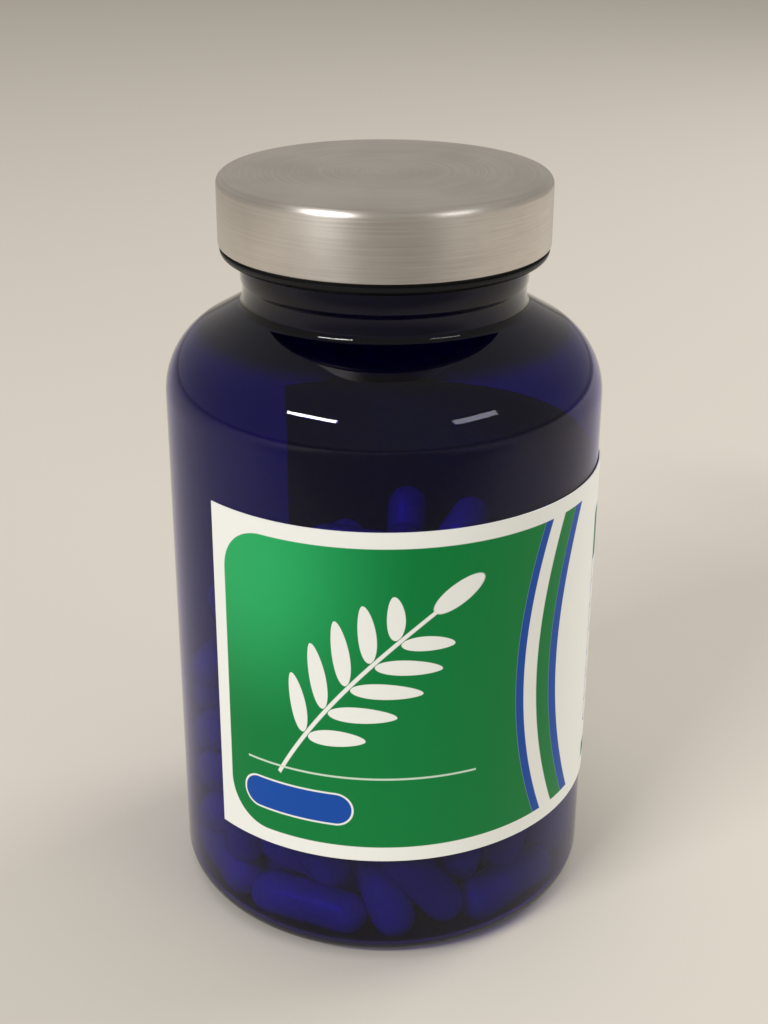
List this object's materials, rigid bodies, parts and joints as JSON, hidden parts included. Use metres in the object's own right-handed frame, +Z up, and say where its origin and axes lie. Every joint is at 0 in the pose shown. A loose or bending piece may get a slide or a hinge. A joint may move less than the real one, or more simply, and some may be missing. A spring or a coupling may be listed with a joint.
{
  "type": "capsule bottle",
  "caption": "Round blue plastic capsule bottle with a wrap label, a metal-clad screw cap that unscrews on its thread, and a loose fill of two-piece capsules.",
  "frame": {"origin": "middle of the base, on the surface that the bottle stands on", "axes": "+Z up along the bottle's axis, -Y towards the front of the label, +X to the right"},
  "size_m": [0.0653, 0.0656, 0.1133],
  "materials": {
    "bottle": "glossy see-through cobalt blue",
    "label": "coated white paper with a printed green and blue design",
    "cap_inner": "moulded black",
    "cap_shell": "satin, finely brushed",
    "cap_disc": "white foam",
    "capsules": "clear two-piece shells with pale brown powder"
  },
  "bodies": {
    "bottle": {"bottle": "bottle", "label": "label", "capsules": "capsules"},
    "disc": {"cap_disc": "cap_disc"},
    "cap": {"cap_inner": "cap_inner", "cap_shell": "cap_shell"}
  },
  "joints": [
    {"name": "cap_rise", "type": "slide", "parent": "bottle", "child": "disc", "axis": [0, 0, 1], "range_m": [0, 0.0036]},
    {"name": "cap_turn", "type": "hinge", "parent": "disc", "child": "cap", "pos_m": [0, 0, 0.11], "axis": [0, 0, 1], "range_deg": [0, 300]}
  ],
  "couplings": [
    {"joint": "cap_rise", "follows": "cap_turn", "m_per_rad": 0.00067323}
  ]
}
